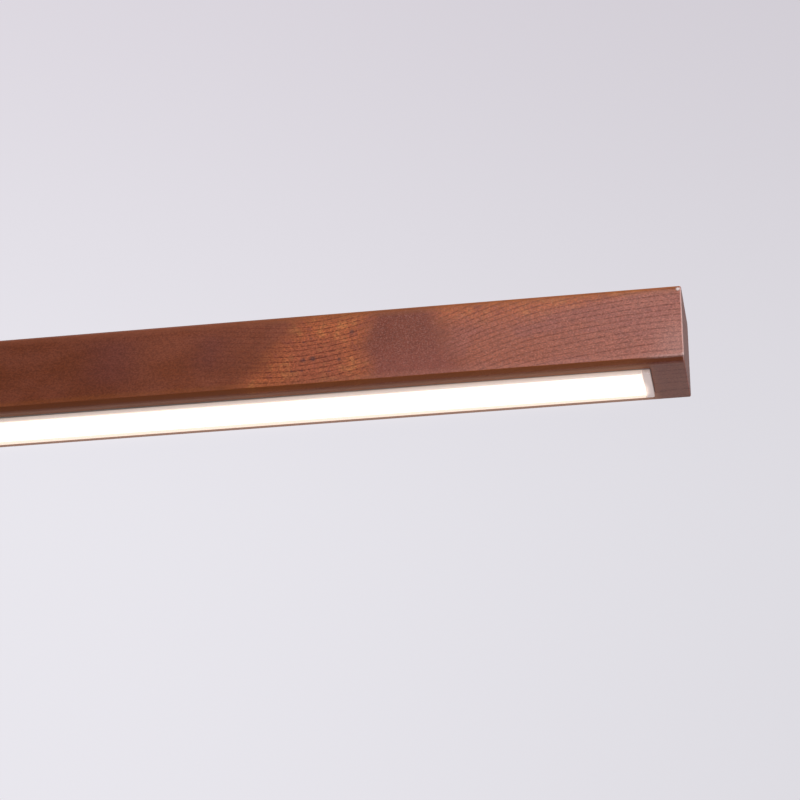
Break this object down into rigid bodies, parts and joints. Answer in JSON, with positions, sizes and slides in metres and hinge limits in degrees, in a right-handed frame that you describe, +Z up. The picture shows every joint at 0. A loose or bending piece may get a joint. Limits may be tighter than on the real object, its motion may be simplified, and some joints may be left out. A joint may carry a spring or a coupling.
{
  "type": "linear pendant light",
  "caption": "Slim wooden beam pendant light with a glowing opal LED strip along its underside, hung on two wires by spring grippers on its top.",
  "frame": {"origin": "middle of the beam's top face, on the axis of the cord inlet", "axes": "+X along the beam to the right as seen from the front, +Y to the back, +Z up towards the ceiling"},
  "size_m": [1.2, 0.052, 0.0849],
  "materials": {
    "stained_wood": "reddish brown stain under satin lacquer",
    "silver_aluminium": "matt anodised, pale warm silver",
    "opal_acrylic": "satin opal, lit from behind",
    "milky_plastic": "milky white, lets a little light through",
    "thermal_tape": "matt",
    "board_white": "white solder mask",
    "led_package": "clear resin over yellow phosphor",
    "white_plastic": "fine matt",
    "zinc_steel": "zinc plated",
    "black_rubber": "matt",
    "circuit_green": "lacquered",
    "lead_brown": "smooth insulation",
    "lead_red": "smooth insulation",
    "satin_nickel": "satin nickel plate",
    "insert_brass": "turned",
    "spring_steel": "bright",
    "nipple_steel": "turned, bright"
  },
  "bodies": {
    "lamp": {"wood_beam": "stained_wood", "led_channel": "silver_aluminium", "diffuser": "opal_acrylic", "end_cap_left": "milky_plastic", "end_cap_right": "milky_plastic", "thermal_tapes": "thermal_tape", "led_board_left": "board_white", "led_board_right": "board_white", "leds_left": "led_package", "leds_right": "led_package", "board_link": "white_plastic", "channel_screws": "zinc_steel", "lead_grommet": "black_rubber", "driver_case": "white_plastic", "driver_cover": "white_plastic", "driver_board": "circuit_green", "terminal_block": "white_plastic", "terminal_screws": "zinc_steel", "pocket_screws": "zinc_steel", "mains_leads": "lead_brown", "led_leads": "lead_red", "inlet_bush": "satin_nickel", "inlet_locknut": "satin_nickel", "insert_left": "insert_brass", "insert_right": "insert_brass", "washer_left": "satin_nickel", "washer_right": "satin_nickel", "grip_base_left": "satin_nickel", "grip_base_right": "satin_nickel", "grip_barrel_left": "satin_nickel", "grip_barrel_right": "satin_nickel", "grip_spring_left": "spring_steel", "grip_spring_right": "spring_steel"},
    "nipple_left": {"release_nipple_left": "nipple_steel", "grip_balls_left": "spring_steel"},
    "nipple_right": {"release_nipple_right": "nipple_steel", "grip_balls_right": "spring_steel"}
  },
  "joints": [
    {"name": "release_left", "type": "slide", "parent": "lamp", "child": "nipple_left", "axis": [0, 0, -1], "range_m": [0, 0.0025], "stiffness_N_per_m": 800, "springref_m": -0.003, "deforming": ["grip_spring_left"]},
    {"name": "release_right", "type": "slide", "parent": "lamp", "child": "nipple_right", "axis": [0, 0, -1], "range_m": [0, 0.0025], "stiffness_N_per_m": 800, "springref_m": -0.003, "deforming": ["grip_spring_right"]}
  ]
}
